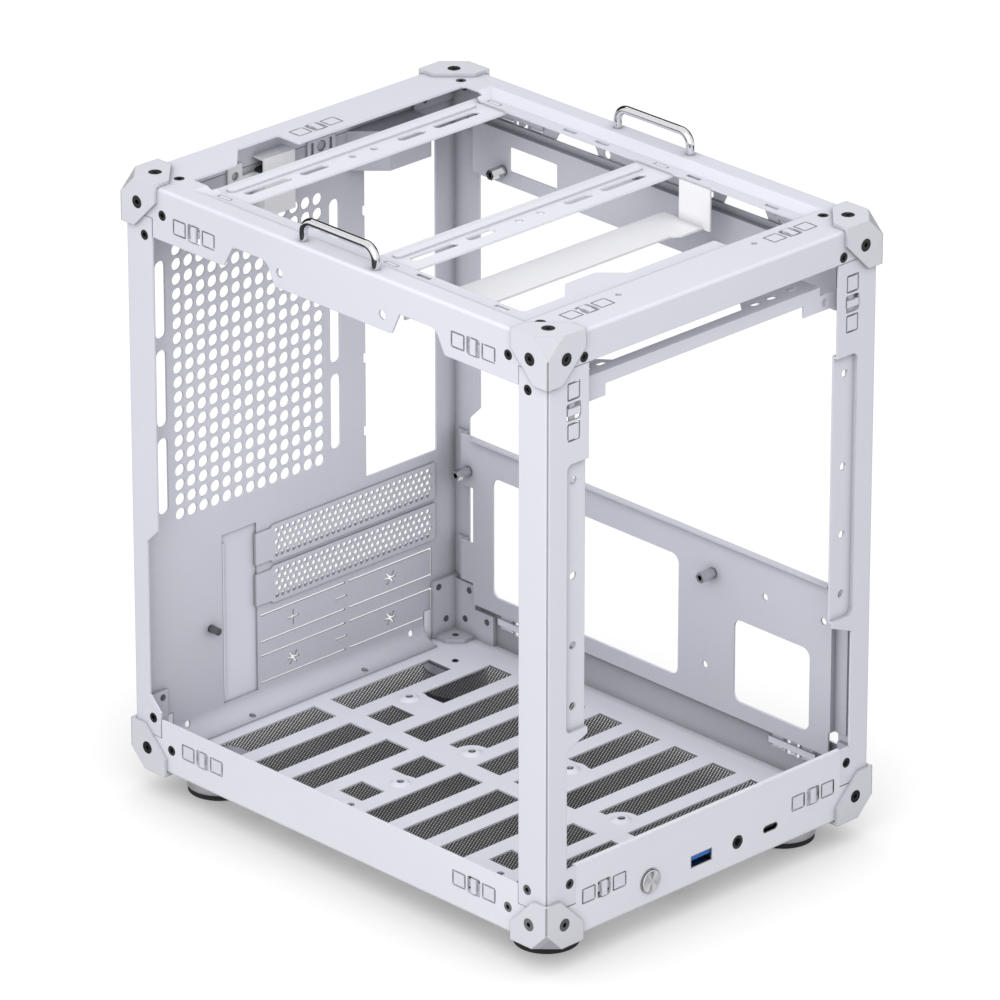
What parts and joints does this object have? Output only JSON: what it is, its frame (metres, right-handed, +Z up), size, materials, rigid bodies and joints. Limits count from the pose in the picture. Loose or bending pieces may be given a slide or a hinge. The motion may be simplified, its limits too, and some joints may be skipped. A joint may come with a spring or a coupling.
{
  "type": "computer case",
  "caption": "Compact open-frame computer case of white folded sheet with three-way corner caps, carry handles, vented floor, fan brackets, board tray and front ports.",
  "frame": {"origin": "on the floor under the middle of the case", "axes": "+Z up, +X to the right seen from the front, -Y out of the front"},
  "size_m": [0.2028, 0.2668, 0.3077],
  "materials": {
    "white_coat": "fine matt powder coat",
    "black_steel": "blackened steel",
    "polished_steel": "polished",
    "dark_steel": "dark plated",
    "satin_grey": "satin",
    "black_rubber": "matt",
    "black_mesh": "woven mesh",
    "port_steel": "plated",
    "blue_plastic": "moulded",
    "black_plastic": "moulded",
    "board_laminate": "laminate",
    "button_metal": "spun satin"
  },
  "bodies": {
    "case": {"audio_jack": "black_plastic", "board_posts": "white_coat", "board_tray": "white_coat", "bottom_tray": "white_coat", "button_bezel": "button_metal", "button_switch": "black_plastic", "cap_screws": "black_steel", "corner_cap_bottom_front_left": "white_coat", "corner_cap_bottom_front_right": "white_coat", "corner_cap_bottom_rear_left": "white_coat", "corner_cap_bottom_rear_right": "white_coat", "corner_cap_top_front_left": "white_coat", "corner_cap_top_front_right": "white_coat", "corner_cap_top_rear_left": "white_coat", "corner_cap_top_rear_right": "white_coat", "corner_joints": "white_coat", "dust_filter": "black_mesh", "fan_bracket_middle": "white_coat", "fan_bracket_rear": "white_coat", "foot_front_left": "satin_grey", "foot_front_right": "satin_grey", "foot_pad_front_left": "black_rubber", "foot_pad_front_right": "black_rubber", "foot_pad_rear_left": "black_rubber", "foot_pad_rear_right": "black_rubber", "foot_rear_left": "satin_grey", "foot_rear_right": "satin_grey", "foot_screws": "black_steel", "frame_screws": "black_steel", "front_channel": "white_coat", "front_post_left": "white_coat", "front_post_right": "white_coat", "handle_left": "polished_steel", "handle_right": "polished_steel", "handle_screws": "black_steel", "inlet_housing": "white_coat", "inlet_socket": "black_plastic", "panel_catches": "white_coat", "port_board": "board_laminate", "rear_panel": "white_coat", "retainer_screw": "black_steel", "slot_cover_lower": "white_coat", "slot_cover_upper": "white_coat", "slot_retainer": "white_coat", "standoffs": "dark_steel", "supply_channel": "white_coat", "top_frame": "white_coat", "top_stiffener": "white_coat", "upper_strip": "white_coat", "usb_a_shell": "port_steel", "usb_a_tongue": "blue_plastic", "usb_c_shell": "port_steel", "usb_c_tongue": "black_plastic"},
    "button": {"power_button": "button_metal"}
  },
  "joints": [
    {"name": "button_press", "type": "slide", "parent": "case", "child": "button", "axis": [0, 1, 0], "range_m": [0, 0.0008], "stiffness_N_per_m": 600, "springref_m": -0.0008}
  ]
}
